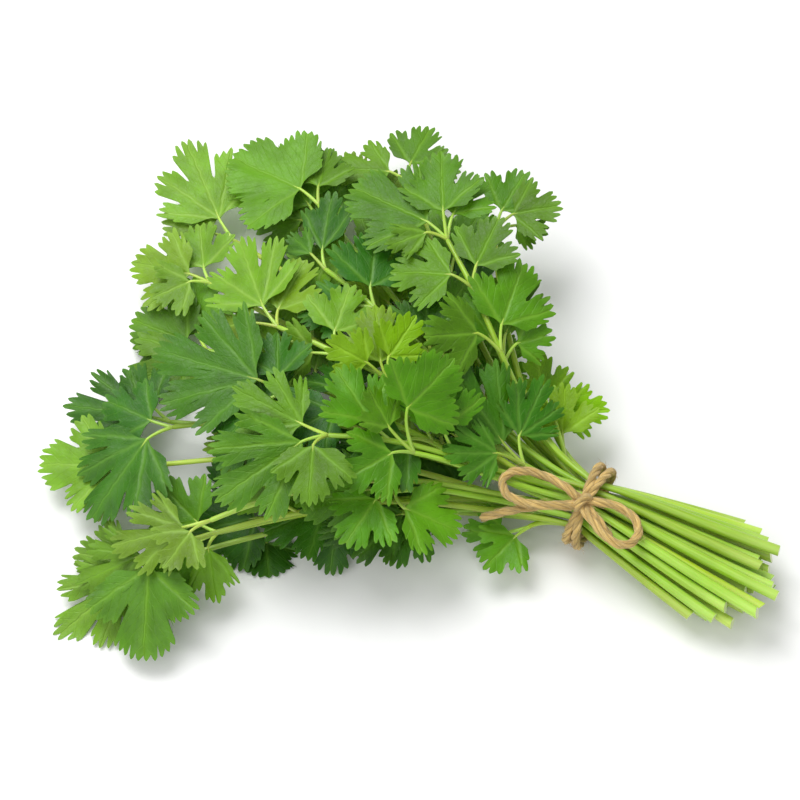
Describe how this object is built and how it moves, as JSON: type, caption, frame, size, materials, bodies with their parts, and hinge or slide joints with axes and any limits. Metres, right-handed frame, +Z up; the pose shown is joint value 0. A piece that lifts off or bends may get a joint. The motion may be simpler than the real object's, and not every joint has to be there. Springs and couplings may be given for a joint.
{
  "type": "coriander bunch",
  "caption": "Bunch of fresh coriander (Chinese parsley) lying on its side, long bare stems tied with a jute twine bow, lobed leaves fanned out.",
  "frame": {"origin": "centre of the whole bunch in plan, at the height of the surface it lies on", "axes": "+X along the tied stems toward their cut ends, the leaves fan out toward -X; +Z up; +Y across the bunch"},
  "size_m": [0.2968, 0.2532, 0.0783],
  "materials": {
    "green": "fresh mid green leaf and stem, satin",
    "deep": "darker, slightly blue green leaf and stem, satin",
    "lime": "light yellow green leaf and stem, satin",
    "pale": "pale leaf undersides and stem, matt",
    "jute": "rough undyed plant-fibre twine, matt"
  },
  "bodies": {
    "root": {"sprig_01": "deep", "sprig_02": "green", "sprig_03": "green", "sprig_04": "green", "sprig_05": "deep", "sprig_06": "lime", "sprig_07": "pale", "sprig_08": "deep", "sprig_09": "green", "sprig_10": "green", "sprig_11": "pale", "sprig_12": "deep", "sprig_13": "lime", "sprig_14": "green", "sprig_15": "green", "sprig_16": "green", "sprig_17": "pale", "sprig_18": "pale", "sprig_19": "pale", "sprig_20": "lime", "sprig_21": "lime", "sprig_22": "green", "sprig_23": "green", "sprig_24": "green", "sprig_25": "deep", "sprig_26": "deep", "sprig_27": "deep", "sprig_28": "green", "sprig_29": "deep", "sprig_30": "pale", "sprig_31": "green", "sprig_32": "pale", "sprig_33": "green", "sprig_34": "deep", "sprig_35": "deep", "sprig_36": "deep", "sprig_37": "green", "twine": "jute"}
  },
  "joints": []
}
